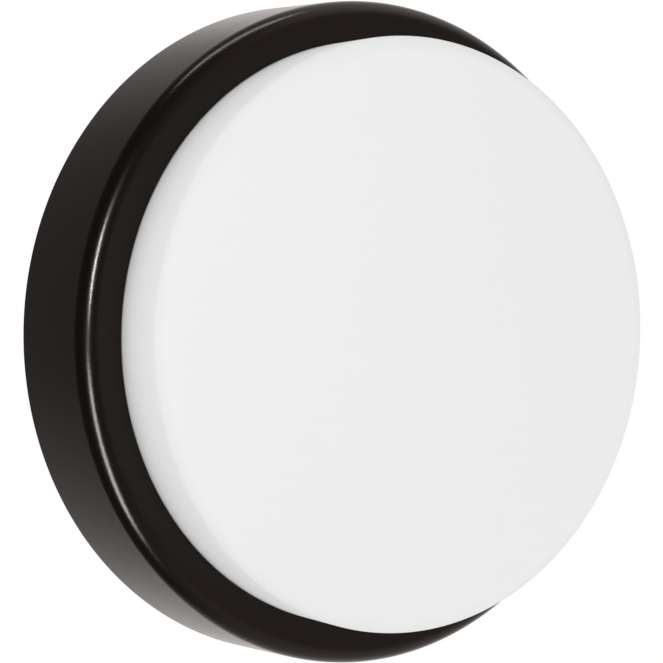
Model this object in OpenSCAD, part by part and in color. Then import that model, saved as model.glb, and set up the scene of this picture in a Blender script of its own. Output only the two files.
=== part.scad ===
// Round outdoor wall light: a black cast ring and an opal diffuser that snap on to a sealed base.
// The origin is the centre of the wall face. The front looks along -Y and +Z is up.
// Every piece is drawn with z as its distance from the wall, and stood() turns it upright.

/* [Trim ring] */
// Diameter of the ring where its rounded front edge begins
ring_d = 300; // [280:1:330]
// Distance from the wall to the ring's flat front
ring_depth = 53; // [50:0.5:60]
// Radius of the rounded front edge
ring_edge_r = 7.5; // [6:0.25:9]
// Draft of the ring's side, in degrees
ring_draft = 2.4; // [1:0.1:4]
// Thickness of the cast wall
ring_wall = 2.6; // [2:0.1:3]
// Shadow gap between the wall and the ring's back edge
ring_gap = 1; // [0.5:0.1:2]
// Diameter of the opening for the diffuser
opening_d = 263.4; // [262:0.2:264]

/* [Diffuser] */
// Diameter of the diffuser
diffuser_d = 262.8; // [260:0.2:263]
// Distance from the wall to the diffuser's face
light_depth = 88; // [80:0.5:100]
// Radius of the diffuser's front corner
diffuser_corner_r = 9; // [6:0.5:12]
// Thickness of the opal wall
diffuser_wall = 2.2; // [1.8:0.1:2.8]
// Number of clamps that hold the flange
clamp_count = 6; // [4:1:8]

/* [Base] */
// Radius of the back plate
plate_r = 148.4; // [146:0.2:148.6]
// Thickness of the back plate
plate_t = 3; // [2.5:0.1:4]
// Outer radius of the round tray wall
pan_r = 132; // [131:0.5:132]
// Distance from the wall to the top of the tray wall
pan_depth = 39; // [38:0.5:39]
// Distance from the middle to each wall fixing
fixing_r = 139.5; // [139:0.5:140]
// Width of the fixing slots and holes
fixing_w = 5.2; // [4.5:0.1:5.5]
// Length of the fixing slots
slot_l = 10; // [8:0.5:10]
// Bore of the cable grommet
cable_d = 8; // [6:0.5:10]
// Distance from the middle to each cable entry
entry_y = 60; // [56:1:64]

/* [Spring clips] */
// Number of clips round the base
clip_count = 4; // [3:1:6]
// Width of a clip
clip_w = 16; // [10:1:20]
// Thickness of the spring steel
clip_t = 0.7; // [0.5:0.1:0.8]

/* [Gear] */
// Distance from the wall to the back of the gear tray
tray_z = 20; // [19:0.5:22]
// Thickness of the tray's sheet
tray_t = 1; // [0.8:0.1:1.2]
// Inner radius of the light board
board_in_r = 64; // [62:1:66]
// Outer radius of the light board
board_out_r = 104; // [100:1:105]
// Radii of the rings of chips
chip_rings = [73, 95];
// Number of chips in each ring
chip_counts = [20, 28];

/* [Hidden] */
$fn = 96;

// Small overlap with which the shapes of one solid run into each other
weld = 0.5;

// Rounded edge of the ring: the centre of its arc and the point where the drafted side meets it
edge_x = ring_d / 2 - ring_edge_r;
edge_z = ring_depth - ring_edge_r;
side_x = edge_x + ring_edge_r * cos(ring_draft);
side_z = edge_z + ring_edge_r * sin(ring_draft);
ring_back_r = side_x + (side_z - ring_gap) * tan(ring_draft);
edge_in_r = ring_edge_r - ring_wall;
side_in_x = edge_x + edge_in_r * cos(ring_draft);
side_in_z = edge_z + edge_in_r * sin(ring_draft);
ring_in_back_r = side_in_x + (side_in_z - ring_gap) * tan(ring_draft);

// Collar that turns back from the ring's opening, the gasket behind it and the diffuser's flange
opening_r = opening_d / 2;
collar_t = 2.3;
collar_back = ring_depth - 7;
gasket_t = 2;
flange_front = collar_back - gasket_t;
flange_t = 2.5;
flange_back = flange_front - flange_t;
flange_r = 138.5;
diffuser_r = diffuser_d / 2;
diffuser_in_r = diffuser_r - diffuser_wall;

// Bead inside the ring that the clips snap over
bead_h = 1.6;
bead_z = 21;
bead_l = 3;
bead_r = ring_in_back_r - (bead_z + bead_l - ring_gap) * tan(ring_draft) - bead_h;

// Clamps and the bosses that their screws turn into
boss_x = 142.7;
boss_r = 3.2;
boss_bore_l = 8;
clamp_t = 1.2;
clamp_w = 13;
clamp_in_x = 134.2;
clamp_out_x = 146.2;
clamp_tab_w = 10;
clamp_grip = 6;

// Screws: the small one of clamps, board, supply unit and terminal block, the tray's and the earth screw
small_r = 1.5;
small_head_r = 2.8;
small_head_h = 2;
small_tip = 1.5;
tray_screw_r = 2;
tray_head_r = 3.8;
tray_head_h = 2.6;
tray_grip = 8;
earth_screw_r = 2;
earth_head_r = 3.4;
earth_head_h = 2.4;
earth_grip = 4;

// Tray wall of the base, with a thicker rim that holds the rim gasket in a groove
pan_wall = 2.6;
rim_out_r = 133.2;
rim_in_r = 128.2;
rim_l = 5;
groove_in_r = 129.5;
groove_out_r = 132;
groove_depth = 3;

// Wall gasket in the back of the plate
seal_in_r = 116;
seal_out_r = 121;
seal_depth = 2;
seal_rib_in_r = 113;
seal_rib = 2;

// Raised pads round the wall fixings
fixing_pad_r = 6.2;
fixing_pad_h = 1.5;

// Cable entries: a collar on the plate, with the grommet or the plug in it
entry_r = 9;
entry_collar_r = 12.5;
entry_collar_z = 6;
lip_r = 11;
lip_t = 1.5;
rubber_back = 0.3;
nose_back_wall = 3.5;
nose_front_wall = 1.5;
nose_l = 4;
plug_wall = 2.2;
plug_end = 2;

// Posts for the tray and pads for the earth screw and the terminal block
post_r = 110;
post_w = 4.6;
post_bore_l = 10;
earth_x = -46;
earth_y = -34;
earth_z = 7;
earth_boss_r = 5;
pad_z = 5;
pad_margin = 2;
pad_bore_z = 1.2;

// Clip: its profile runs from the foot on the plate to the crest that snaps over the bead
clip_foot_in = 134;
clip_foot_out = 139.5;
clip_crest_r = bead_r + 0.7;
clip_crest_z = bead_z + bead_l + 5;
clip_tip_r = 143;
clip_tip_z = 37;
clip_angle = 45;
clip_crest_t = clip_t * 1.15;
clip_bend_t = clip_t * 0.8;
rivet_r = 1.6;
rivet_x = 136.4;
rivet_head_r = 2.2;
rivet_head_h = 1;
rivet_tail_z = 0.2;

// Reflector shape of the gear tray
tray_front = tray_z + tray_t;
tray_flat_r = 115.5;
tray_edge_r = 125.5;
tray_edge_z = 32;
hem_l = 1.6;
slope_t = 0.5;
window_w = 60;
window_y = [-47, -9];

// Light board and its chips
board_t = 1.6;
board_front = tray_front + board_t;
chip_w = 3.5;
chip_l = 2.8;
chip_t = 0.8;
board_hole_r = 84;
board_screw_count = 6;
board_screw_turn = 30;
connector_x = 71;
socket_w = 9;
socket_h = 5;
socket_wire_y = 1.8;
socket_z = 25;
socket_end = 67.4;

// Supply unit: case, ears, lid and what it holds
driver_l = 80;
driver_w = 36;
driver_y = 24;
driver_split = 35;
driver_top = 41;
driver_wall = 1.8;
ear_l = 8;
ear_w = 14;
ear_t = 2.2;
ear_x = (driver_l + ear_l) / 2;
lead_hole_r = 1.45;
lead_z = 30;
mains_hole_y = [0, -5];
output_hole_y = [2, -3];
lid_play = 0.1;
lid_lip = 1.5;
driver_board_z = 26;
board_end_gap = 4;
board_side_gap = 0.5;
core_at = -6;
core_l = 20;
core_w = 18;
core_h = 11;
coil_l = 12;
coil_w = 22;
coil_in = 2;
capacitor_r = 4.5;
capacitor_h = 11;
capacitor_at = [[18, 5], [18, -6], [-26, 4]];

// Terminal block: three poles side by side
block_l = 42;
block_w = 22;
block_y = -28;
block_top = 21;
pole_pitch = 11;
pole_x = [for (i = [-1 : 1]) i * pole_pitch];
pole_z = 13;
block_hole_x = 17.6;
block_sink_r = 3;
block_sink_l = 6;
block_grip = 1.4;
well_y = 5;
well_r = 2.2;
wire_screw_r = 1.4;
wire_head_r = 2;
wire_screw_z = [1.5, 3.4, 6];
wire_slot_w = 0.6;
wire_slot_z = 5.2;
tube_r = 2.6;
tube_bore_r = 1.7;
tube_l = 19;

// Crimped ring terminal: the ring, its tongue and the barrel that holds the lead
crimp_r = 4;
crimp_t = 0.8;
tongue_l = 4;
tongue_w = 3.4;
tongue_y = 4.5;
barrel_r = 1.9;
barrel_l = 5;
barrel_y = 5.6;
barrel_z = 1.2;
crimp_end = 0.2;

// Insulated leads
lead_r = 1.35;
lead_sides = 8;
lead_steps = 3;

// Routes of the leads, point by point from the terminal block or the supply unit
live_route = [[-11, -18.6, 13], [-11, -15, 13], [-11.5, -12.2, 15], [-13, -11.5, 20], [-17, -10.5, 25],
              [-25, -8, 27], [-37, -5, 27], [-48, 0, 27], [-55, 9, 28.5], [-55, 17.5, 30],
              [-50.5, 23, 30], [-45.5, 24, 30], [-42, 24, 30], [-39.4, 24, 30]];
neutral_route = [[0, -18.6, 13], [0, -15, 13], [-0.5, -12.2, 15], [-2.5, -11.5, 20], [-7, -10, 25],
                 [-16, -5, 26.5], [-28, -1.5, 27], [-40, 2, 27], [-48, 8, 28], [-50, 14, 29.5],
                 [-47.5, 18, 30], [-44.5, 19, 30], [-42, 19, 30], [-39.4, 19, 30]];
earth_route = [[11, -18.6, 13], [11, -14, 13], [7, -10, 11.5], [-6, -8, 9.5], [-22, -8.5, 9],
               [-35, -10, 9], [-42.5, -13, 8.8], [-45.6, -18, 8.3], [-46, -21.5, 8.2],
               [-46, -25, 8.2], [-46, -28.2, 8.2]];
plus_route = [[39.4, 26, 30], [42, 26, 30], [47, 25.6, 30], [52, 23, 29.5], [56, 16.5, 27],
              [57, 9, 25.5], [59, 3.8, 25], [62.5, 1.8, 25], [65, 1.8, 25], [67.2, 1.8, 25]];
minus_route = [[39.4, 21, 30], [42, 21, 30], [46, 20.4, 30], [50, 17.5, 29], [52, 11, 26.5],
               [53, 4, 25], [56.5, -0.6, 25], [62, -1.8, 25], [65, -1.8, 25], [67.2, -1.8, 25]];

// Colours of the finishes
black_coat = [0.14, 0.13, 0.12];
opal = [0.94, 0.94, 0.94];
seal_black = [0.08, 0.08, 0.08];
zinc = [0.75, 0.75, 0.77];
stainless = [0.68, 0.69, 0.71];
white_enamel = [0.96, 0.96, 0.95];
board_white = [0.92, 0.93, 0.90];
chip_yellow = [0.95, 0.82, 0.35];
casing_grey = [0.82, 0.83, 0.84];
board_green = [0.10, 0.32, 0.20];
brass = [0.80, 0.66, 0.32];
natural_nylon = [0.90, 0.89, 0.84];

// Turns a piece drawn on the wall upright, with its z axis pointing out of the wall
module stood() {
    rotate([90, 0, 0]) children();
}

// Copies of the children at equal angles round the light
module around(count, first = 0) {
    for (i = [0 : count - 1]) rotate(first + i * 360 / count) children();
}

// A round band of rectangular section
module band(in_r, out_r, z0, z1) {
    rotate_extrude($fn = 180) translate([in_r, z0]) square([out_r - in_r, z1 - z0]);
}

// A disc or rod that runs from z0 to z1
module rod(r, z0, z1) {
    translate([0, 0, z0]) cylinder(r = r, h = z1 - z0);
}

// A box that runs between two heights, centred on x and y
module slab(l, w, z0, z1) {
    translate([-l / 2, -w / 2, z0]) cube([l, w, z1 - z0]);
}

// A pan head screw that stands on z, with its shank going down and a cross in its head
module pan_screw(head_r, head_h, shank_r, shank_l, z) {
    difference() {
        union() {
            rod(head_r, z, z + head_h);
            rod(shank_r, z - shank_l, z + weld);
        }
        for (a = [0, 90]) rotate(a) slab(head_r * 1.1, head_r * 0.24, z + head_h * 0.45, z + head_h + 1);
    }
}

// Section of the ring's outer or inner surface, filled to the axis, from the back to the front
module ring_section(back_r, side, centre, arc_r, z_back) {
    polygon([[0, z_back], [back_r, z_back], side, centre, [centre[0], centre[1] + arc_r],
             [0, centre[1] + arc_r]]);
    translate(centre) circle(r = arc_r);
}

module trim_ring() {
    color(black_coat) stood() difference() {
        union() {
            rotate_extrude($fn = 240) difference() {
                ring_section(ring_back_r, [side_x, side_z], [edge_x, edge_z], ring_edge_r, ring_gap);
                difference() {
                    ring_section(ring_in_back_r, [side_in_x, side_in_z], [edge_x, edge_z],
                                 edge_in_r, ring_gap - weld);
                    translate([opening_r - weld, collar_back]) square([collar_t + weld, ring_depth]);
                    translate([bead_r, bead_z]) square([bead_h * 3, bead_l]);
                }
                translate([0, -weld]) square([opening_r, ring_depth + 1]);
            }
            around(clamp_count) translate([boss_x, 0, 0])
                rod(boss_r, flange_back, ring_depth - ring_wall + weld);
        }
        around(clamp_count) translate([boss_x, 0, 0])
            rod(small_r, flange_back - weld, flange_back + boss_bore_l);
    }
}

module diffuser() {
    corner = [diffuser_r - diffuser_corner_r, light_depth - diffuser_corner_r];
    corner_in_r = diffuser_corner_r - diffuser_wall;
    color(opal) stood() rotate_extrude($fn = 240) union() {
        difference() {
            ring_section(diffuser_r, [diffuser_r, corner[1]], corner, diffuser_corner_r, flange_back);
            ring_section(diffuser_in_r, [diffuser_in_r, corner[1]], corner, corner_in_r,
                         flange_back - weld);
        }
        translate([diffuser_in_r, flange_back]) square([flange_r - diffuser_in_r, flange_t]);
    }
}

module diffuser_gasket() {
    color(seal_black) stood() band(opening_r + 0.2, flange_r - 0.8, flange_front, collar_back);
}

// One pressed clamp, with its tab on the flange and its hole over the boss
module diffuser_clamp(i) {
    color(zinc) stood() rotate((i - 1) * 360 / clamp_count) difference() {
        union() {
            translate([boss_x, 0, 0]) slab(2 * (clamp_out_x - boss_x), clamp_w, flange_back - clamp_t,
                                           flange_back);
            translate([(clamp_in_x + boss_x) / 2, 0, 0])
                slab(boss_x - clamp_in_x, clamp_tab_w, flange_back - clamp_t, flange_back);
        }
        translate([boss_x, 0, 0]) rod(small_r, 0, ring_depth);
    }
}

module clamp_screws() {
    color(zinc) stood() around(clamp_count) translate([boss_x, 0, 0])
        translate([0, 0, flange_back - clamp_t]) rotate([180, 0, 0])
            pan_screw(small_head_r, small_head_h, small_r, clamp_t + clamp_grip, 0);
}

module wall_base() {
    color(black_coat) stood() difference() {
        union() {
            rod(plate_r, 0, plate_t, $fn = 240);
            band(pan_r - pan_wall, pan_r, plate_t - weld, pan_depth);
            band(rim_in_r, rim_out_r, pan_depth - rim_l, pan_depth);
            band(seal_rib_in_r, pan_r - pan_wall + weld, plate_t - weld, plate_t + seal_rib);
            for (side = [-1, 1]) translate([0, side * entry_y, 0])
                rod(entry_collar_r, plate_t - weld, entry_collar_z);
            around(4, 45) translate([post_r, 0, 0]) rod(post_w, plate_t - weld, tray_z);
            translate([earth_x, earth_y, 0]) rod(earth_boss_r, plate_t - weld, earth_z);
            translate([0, block_y, 0])
                slab(block_l + 2 * pad_margin, block_w + 2 * pad_margin, plate_t - weld, pad_z);
            around(4) translate([fixing_r, 0, 0])
                rod(fixing_pad_r, plate_t - weld, plate_t + fixing_pad_h);
        }
        band(groove_in_r, groove_out_r, pan_depth - groove_depth, pan_depth + weld);
        band(seal_in_r, seal_out_r, -weld, seal_depth);
        for (side = [-1, 1]) translate([0, side * entry_y, 0]) rod(entry_r, -weld, entry_collar_z + weld);
        around(4, 45) translate([post_r, 0, 0]) rod(tray_screw_r, tray_z - post_bore_l, tray_z + weld);
        translate([earth_x, earth_y, 0]) rod(earth_screw_r, plate_t, earth_z + weld);
        for (side = [-1, 1]) translate([side * block_hole_x, block_y, 0])
            rod(small_r, pad_bore_z, pad_z + weld);
        around(clip_count, clip_angle) for (side = [-1, 1])
            translate([rivet_x, side * clip_w / 4, 0]) rod(rivet_r, -weld, plate_t + weld);
        around(2) translate([fixing_r, 0, 0]) {
            slab(slot_l - fixing_w, fixing_w, -weld, plate_t + fixing_pad_h + weld);
            for (side = [-1, 1]) translate([side * (slot_l - fixing_w) / 2, 0, 0])
                rod(fixing_w / 2, -weld, plate_t + fixing_pad_h + weld);
        }
        around(2, 90) translate([fixing_r, 0, 0]) rod(fixing_w / 2, -weld, plate_t + fixing_pad_h + weld);
    }
}

module rim_gasket() {
    color(seal_black) stood() band(groove_in_r, groove_out_r, pan_depth - groove_depth, flange_back);
}

module wall_gasket() {
    color(seal_black) stood() band(seal_in_r, seal_out_r, 0, seal_depth);
}

// A rubber bush with a lip behind the collar, a groove round the plate and a coned nose
module cable_grommet() {
    color(seal_black) stood() translate([0, -entry_y, 0]) difference() {
        union() {
            rod(entry_r, rubber_back, entry_collar_z + weld);
            rod(lip_r, entry_collar_z, entry_collar_z + lip_t);
            translate([0, 0, entry_collar_z + lip_t])
                cylinder(r1 = cable_d / 2 + nose_back_wall, r2 = cable_d / 2 + nose_front_wall, h = nose_l);
        }
        rod(cable_d / 2, -weld, entry_collar_z + lip_t + nose_l + weld);
    }
}

module entry_plug() {
    color(seal_black) stood() translate([0, entry_y, 0]) difference() {
        union() {
            rod(entry_r, rubber_back, entry_collar_z + weld);
            rod(lip_r, entry_collar_z, entry_collar_z + lip_t);
        }
        rod(entry_r - plug_wall, -weld, entry_collar_z + lip_t - plug_end);
    }
}

// One leaf spring: a strip bent from its foot out to the crest and back in to its tip
module spring_clip(i) {
    color(stainless) stood() rotate(clip_angle + (i - 1) * 360 / clip_count) difference() {
        translate([0, clip_w / 2, 0]) rotate([90, 0, 0]) linear_extrude(clip_w) polygon([
            [clip_foot_in, plate_t], [clip_foot_out, plate_t], [clip_crest_r, clip_crest_z],
            [clip_tip_r, clip_tip_z], [clip_tip_r - clip_t, clip_tip_z - clip_t / 2],
            [clip_crest_r - clip_crest_t, clip_crest_z],
            [clip_foot_out - clip_bend_t, plate_t + clip_t], [clip_foot_in, plate_t + clip_t]]);
        for (side = [-1, 1]) translate([rivet_x, side * clip_w / 4, 0]) rod(rivet_r, 0, plate_t + clip_t + weld);
    }
}

module clip_rivets() {
    color(zinc) stood() around(clip_count, clip_angle) for (side = [-1, 1])
        translate([rivet_x, side * clip_w / 4, 0]) {
            rod(rivet_r, rivet_tail_z, plate_t + clip_t + weld);
            rod(rivet_head_r, plate_t + clip_t, plate_t + clip_t + rivet_head_h);
        }
}

module gear_tray() {
    color(white_enamel) stood() difference() {
        union() {
            rod(tray_flat_r, tray_z, tray_front, $fn = 180);
            rotate_extrude($fn = 180) polygon([
                [tray_flat_r - weld, tray_z], [tray_flat_r, tray_z],
                [tray_edge_r, tray_edge_z - tray_t], [tray_edge_r + hem_l, tray_edge_z - tray_t],
                [tray_edge_r + hem_l, tray_edge_z], [tray_edge_r - slope_t, tray_edge_z],
                [tray_flat_r - slope_t, tray_front]]);
        }
        around(4, 45) translate([post_r, 0, 0]) rod(tray_screw_r, tray_z - weld, tray_front + weld);
        around(board_screw_count, board_screw_turn) translate([board_hole_r, 0, 0])
            rod(small_r, tray_z - weld, tray_front + weld);
        translate([0, (window_y[0] + window_y[1]) / 2, 0])
            slab(window_w, window_y[1] - window_y[0], tray_z - weld, tray_front + weld);
        for (side = [-1, 1]) translate([side * ear_x, driver_y, 0])
            rod(small_r, tray_z - weld, tray_front + weld);
    }
}

module tray_screws() {
    color(zinc) stood() around(4, 45) translate([post_r, 0, 0])
        pan_screw(tray_head_r, tray_head_h, tray_screw_r, tray_t + tray_grip, tray_front);
}

module led_board() {
    color(board_white) stood() difference() {
        band(board_in_r, board_out_r, tray_front, board_front);
        around(board_screw_count, board_screw_turn) translate([board_hole_r, 0, 0])
            rod(small_r, tray_front - weld, board_front + weld);
    }
}

module led_chips() {
    color(chip_yellow) stood() for (k = [0 : len(chip_rings) - 1])
        around(chip_counts[k], 180 / chip_counts[k]) translate([chip_rings[k], 0, 0])
            slab(chip_l, chip_w, board_front, board_front + chip_t);
}

module board_screws() {
    color(zinc) stood() around(board_screw_count, board_screw_turn) translate([board_hole_r, 0, 0])
        pan_screw(small_head_r, small_head_h, small_r, board_t + tray_t + small_tip, board_front);
}

// A two-way socket whose wire holes face the middle of the board
module board_connector() {
    color(natural_nylon) stood() translate([connector_x, 0, 0]) difference() {
        slab(socket_w, socket_w, board_front, board_front + socket_h);
        for (side = [-1, 1]) translate([-socket_w, side * socket_wire_y, socket_z]) rotate([0, 90, 0])
            cylinder(r = lead_hole_r, h = socket_w - connector_x + socket_end);
    }
}

module driver_case() {
    color(casing_grey) stood() translate([0, driver_y, 0]) difference() {
        union() {
            slab(driver_l, driver_w, tray_front, driver_split);
            slab(driver_l + 2 * ear_l, ear_w, tray_front, tray_front + ear_t);
        }
        slab(driver_l - 2 * driver_wall, driver_w - 2 * driver_wall, tray_front + driver_wall,
             driver_split + weld);
        for (side = [-1, 1]) translate([side * ear_x, 0, 0])
            rod(small_r, tray_front - weld, tray_front + ear_t + weld);
        for (y = mains_hole_y) translate([-driver_l / 2 - weld, y, lead_z]) rotate([0, 90, 0])
            cylinder(r = lead_hole_r, h = driver_wall + 2 * weld);
        for (y = output_hole_y) translate([driver_l / 2 - driver_wall - weld, y, lead_z])
            rotate([0, 90, 0]) cylinder(r = lead_hole_r, h = driver_wall + 2 * weld);
    }
}

module driver_lid() {
    fit = driver_wall + lid_play;
    hollow = fit + lid_lip;
    color(casing_grey) stood() translate([0, driver_y, 0]) difference() {
        union() {
            slab(driver_l, driver_w, driver_split, driver_top);
            slab(driver_l - 2 * fit, driver_w - 2 * fit, driver_split - lid_lip, driver_split + weld);
        }
        slab(driver_l - 2 * hollow, driver_w - 2 * hollow, driver_split - lid_lip - weld,
             driver_top - driver_wall);
    }
}

module driver_board() {
    color(board_green) stood() translate([0, driver_y, 0])
        slab(driver_l - 2 * (driver_wall + board_end_gap), driver_w - 2 * (driver_wall + board_side_gap),
             tray_front + driver_wall, driver_board_z);
}

module driver_transformer() {
    color(chip_yellow) stood() translate([core_at, driver_y, driver_board_z]) union() {
        slab(core_l, core_w, 0, core_h);
        slab(coil_l, coil_w, coil_in, core_h - coil_in);
    }
}

module driver_capacitors() {
    color(seal_black) stood() for (at = capacitor_at)
        translate([at[0], driver_y + at[1], 0])
            rod(capacitor_r, driver_board_z, driver_board_z + capacitor_h);
}

module driver_screws() {
    color(zinc) stood() for (side = [-1, 1]) translate([side * ear_x, driver_y, 0])
        pan_screw(small_head_r, small_head_h, small_r, ear_t + tray_t + small_tip, tray_front + ear_t);
}

module terminal_block() {
    color(natural_nylon) stood() translate([0, block_y, 0]) difference() {
        slab(block_l, block_w, pad_z, block_top);
        for (x = pole_x) translate([x, block_w / 2 + weld, pole_z]) rotate([90, 0, 0])
            cylinder(r = tube_r, h = block_w + 2 * weld);
        for (x = pole_x) for (side = [-1, 1]) translate([x, side * well_y, 0])
            rod(well_r, pole_z, block_top + weld);
        for (side = [-1, 1]) translate([side * block_hole_x, 0, 0]) {
            rod(small_r, pad_z - weld, block_top + weld);
            rod(block_sink_r, block_top - block_sink_l, block_top + weld);
        }
    }
}

module terminal_tubes() {
    color(brass) stood() translate([0, block_y, 0]) for (x = pole_x)
        translate([x, tube_l / 2, pole_z]) rotate([90, 0, 0]) difference() {
            cylinder(r = tube_r, h = tube_l);
            translate([0, 0, -weld]) cylinder(r = tube_bore_r, h = tube_l + 2 * weld);
            for (side = [-1, 1]) translate([0, 0, tube_l / 2 + side * well_y]) rotate([-90, 0, 0])
                cylinder(r = wire_screw_r, h = tube_r + weld);
        }
}

module terminal_screws() {
    color(zinc) stood() translate([0, block_y, 0]) for (x = pole_x) for (side = [-1, 1])
        translate([x, side * well_y, pole_z]) difference() {
            union() {
                rod(wire_screw_r, wire_screw_z[0], wire_screw_z[1] + weld);
                rod(wire_head_r, wire_screw_z[1], wire_screw_z[2]);
            }
            slab(3 * wire_head_r, wire_slot_w, wire_slot_z, wire_screw_z[2] + weld);
        }
}

module block_screws() {
    color(zinc) stood() for (side = [-1, 1]) translate([side * block_hole_x, block_y, 0])
        pan_screw(small_head_r, small_head_h, small_r, block_top - block_sink_l - block_grip,
                  block_top - block_sink_l);
}

// Crimped ring terminal that lies on the earth boss
module earth_ring() {
    color(brass) stood() translate([earth_x, earth_y, earth_z]) difference() {
        union() {
            rod(crimp_r, 0, crimp_t);
            translate([0, tongue_y, 0]) slab(tongue_w, tongue_l, 0, crimp_t);
            translate([0, barrel_y, barrel_z]) rotate([-90, 0, 0]) cylinder(r = barrel_r, h = barrel_l);
        }
        rod(earth_screw_r, -weld, crimp_t + weld);
        translate([0, barrel_y + crimp_end, barrel_z]) rotate([-90, 0, 0]) cylinder(r = lead_r, h = barrel_l);
    }
}

module earth_screw() {
    color(zinc) stood() translate([earth_x, earth_y, 0])
        pan_screw(earth_head_r, earth_head_h, earth_screw_r, earth_grip, earth_z + crimp_t);
}

// Unit vector, and a smooth curve through the points of a route
function unit(v) = v / norm(v);
function curve_point(p, i, t) = let (
    a = p[max(i - 1, 0)], b = p[i], c = p[i + 1], d = p[min(i + 2, len(p) - 1)])
    0.5 * (2 * b + (c - a) * t + (2 * a - 5 * b + 4 * c - d) * t * t + (3 * b - a - 3 * c + d) * t * t * t);
function curve(p) = [
    for (i = [0 : len(p) - 2]) for (k = [0 : lead_steps - 1]) curve_point(p, i, k / lead_steps),
    p[len(p) - 1]];

// The sideways direction of each ring of a tube, carried from the ring before so that it never twists
function carried(along, i, side) = i == len(along) ? [] :
    let (next = unit(side - (side * along[i]) * along[i])) concat([next], carried(along, i + 1, next));

// A round insulated lead along a route
module lead(route, tint) {
    path = curve(route);
    last = len(path) - 1;
    along = [for (i = [0 : last]) unit(path[min(i + 1, last)] - path[max(i - 1, 0)])];
    across = carried(along, 0, unit(cross(along[0], [0.2, 0.3, 1])));
    points = [for (i = [0 : last]) for (k = [0 : lead_sides - 1])
        let (a = k * 360 / lead_sides, up = cross(along[i], across[i]))
        path[i] + lead_r * (cos(a) * across[i] + sin(a) * up)];
    sides = [for (i = [0 : last - 1]) for (k = [0 : lead_sides - 1])
        let (a = i * lead_sides + k, b = i * lead_sides + (k + 1) % lead_sides)
        [a, a + lead_sides, b + lead_sides, b]];
    start = [for (k = [0 : lead_sides - 1]) k];
    end = [for (k = [lead_sides - 1 : -1 : 0]) last * lead_sides + k];
    color(tint) stood() polyhedron(points, concat(sides, [start, end]), convexity = 6);
}

module live_lead() {
    lead(live_route, [0.42, 0.22, 0.12]);
}

module neutral_lead() {
    lead(neutral_route, [0.15, 0.35, 0.70]);
}

module earth_lead() {
    lead(earth_route, [0.55, 0.72, 0.15]);
}

module plus_lead() {
    lead(plus_route, [0.75, 0.12, 0.10]);
}

module minus_lead() {
    lead(minus_route, [0.10, 0.10, 0.10]);
}

trim_ring();
diffuser();
diffuser_gasket();
for (i = [1 : clamp_count]) diffuser_clamp(i);
clamp_screws();
wall_base();
rim_gasket();
wall_gasket();
cable_grommet();
entry_plug();
for (i = [1 : clip_count]) spring_clip(i);
clip_rivets();
gear_tray();
tray_screws();
led_board();
led_chips();
board_screws();
board_connector();
driver_case();
driver_lid();
driver_board();
driver_transformer();
driver_capacitors();
driver_screws();
terminal_block();
terminal_tubes();
terminal_screws();
block_screws();
earth_ring();
earth_screw();
live_lead();
neutral_lead();
earth_lead();
plus_lead();
minus_lead();
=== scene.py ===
"""Looks of a round outdoor wall light: black powder-coated ring, opal diffuser and the gear inside.

The frame is the part's own: +X to the right, +Y into the wall, +Z up. Lengths are in millimetres
until a surface is put into its mesh, and the angles below in degrees. A round piece is drawn by
its section: pairs of radius and depth, where depth is the distance out from the wall, along -Y.
"""

import math

import bpy
import numpy as np
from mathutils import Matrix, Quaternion, Vector


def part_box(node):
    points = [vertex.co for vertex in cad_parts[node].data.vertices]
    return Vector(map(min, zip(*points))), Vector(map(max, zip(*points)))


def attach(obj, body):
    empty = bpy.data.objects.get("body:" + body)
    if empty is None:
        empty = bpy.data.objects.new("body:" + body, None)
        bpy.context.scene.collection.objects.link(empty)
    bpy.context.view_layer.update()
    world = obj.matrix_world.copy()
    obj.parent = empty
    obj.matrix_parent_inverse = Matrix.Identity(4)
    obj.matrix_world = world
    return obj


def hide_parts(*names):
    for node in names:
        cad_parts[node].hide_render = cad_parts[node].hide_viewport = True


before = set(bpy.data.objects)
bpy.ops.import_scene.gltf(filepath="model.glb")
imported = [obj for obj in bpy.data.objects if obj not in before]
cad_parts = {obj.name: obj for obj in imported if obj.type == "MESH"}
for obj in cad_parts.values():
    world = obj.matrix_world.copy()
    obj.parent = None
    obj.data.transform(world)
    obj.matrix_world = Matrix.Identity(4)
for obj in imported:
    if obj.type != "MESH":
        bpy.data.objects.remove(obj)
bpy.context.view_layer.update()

MM = 0.001


def low_mm(node):
    """Lowest corner of a CAD node, in millimetres."""
    return np.array(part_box(node)[0]) / MM


def high_mm(node):
    """Highest corner of a CAD node, in millimetres."""
    return np.array(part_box(node)[1]) / MM


# Sizes read from the frame
RING_BACK_R = high_mm("trim_ring")[0]
RING_DEPTH = -low_mm("trim_ring")[1]
RING_GAP = -high_mm("trim_ring")[1]
LIGHT_DEPTH = -low_mm("diffuser")[1]
FLANGE_BACK = -high_mm("diffuser")[1]
FLANGE_R = high_mm("diffuser")[0]
PLATE_T = -high_mm("spring_clip_1")[1]
BOARD_FRONT = -high_mm("led_chips")[1]
CHIP_T = high_mm("led_chips")[1] - low_mm("led_chips")[1]

# The ring: wall, rounded front edge, draft of its side, collar round the opening
RING_WALL = 2.6
RING_EDGE_R = 7.5
RING_DRAFT = 2.4
OPENING_R = 131.7
COLLAR_T = 2.3
COLLAR_L = 7
# The bead inside it, which the clips hold, from one depth to another
BEAD_FROM = 21
BEAD_TO = 24
BEAD_H = 1.6
# Its screw bosses, which run a little way into the front wall
CLAMP_COUNT = 6
BOSS_X = 142.7
BOSS_R = 3.2
BOSS_SINK = 0.4
BOSS_CHAMFER = 0.3
BOSS_BORE_R = 1.5
BOSS_BORE_DEPTH = 8

# The diffuser
DIFFUSER_R = 131.4
DIFFUSER_WALL = 2.2
DIFFUSER_CORNER_R = 9
FLANGE_T = 2.5

# Segments round the ring and diffuser, and round a boss
ROUND_SEGMENTS = 480
BOSS_SEGMENTS = 40

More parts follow.
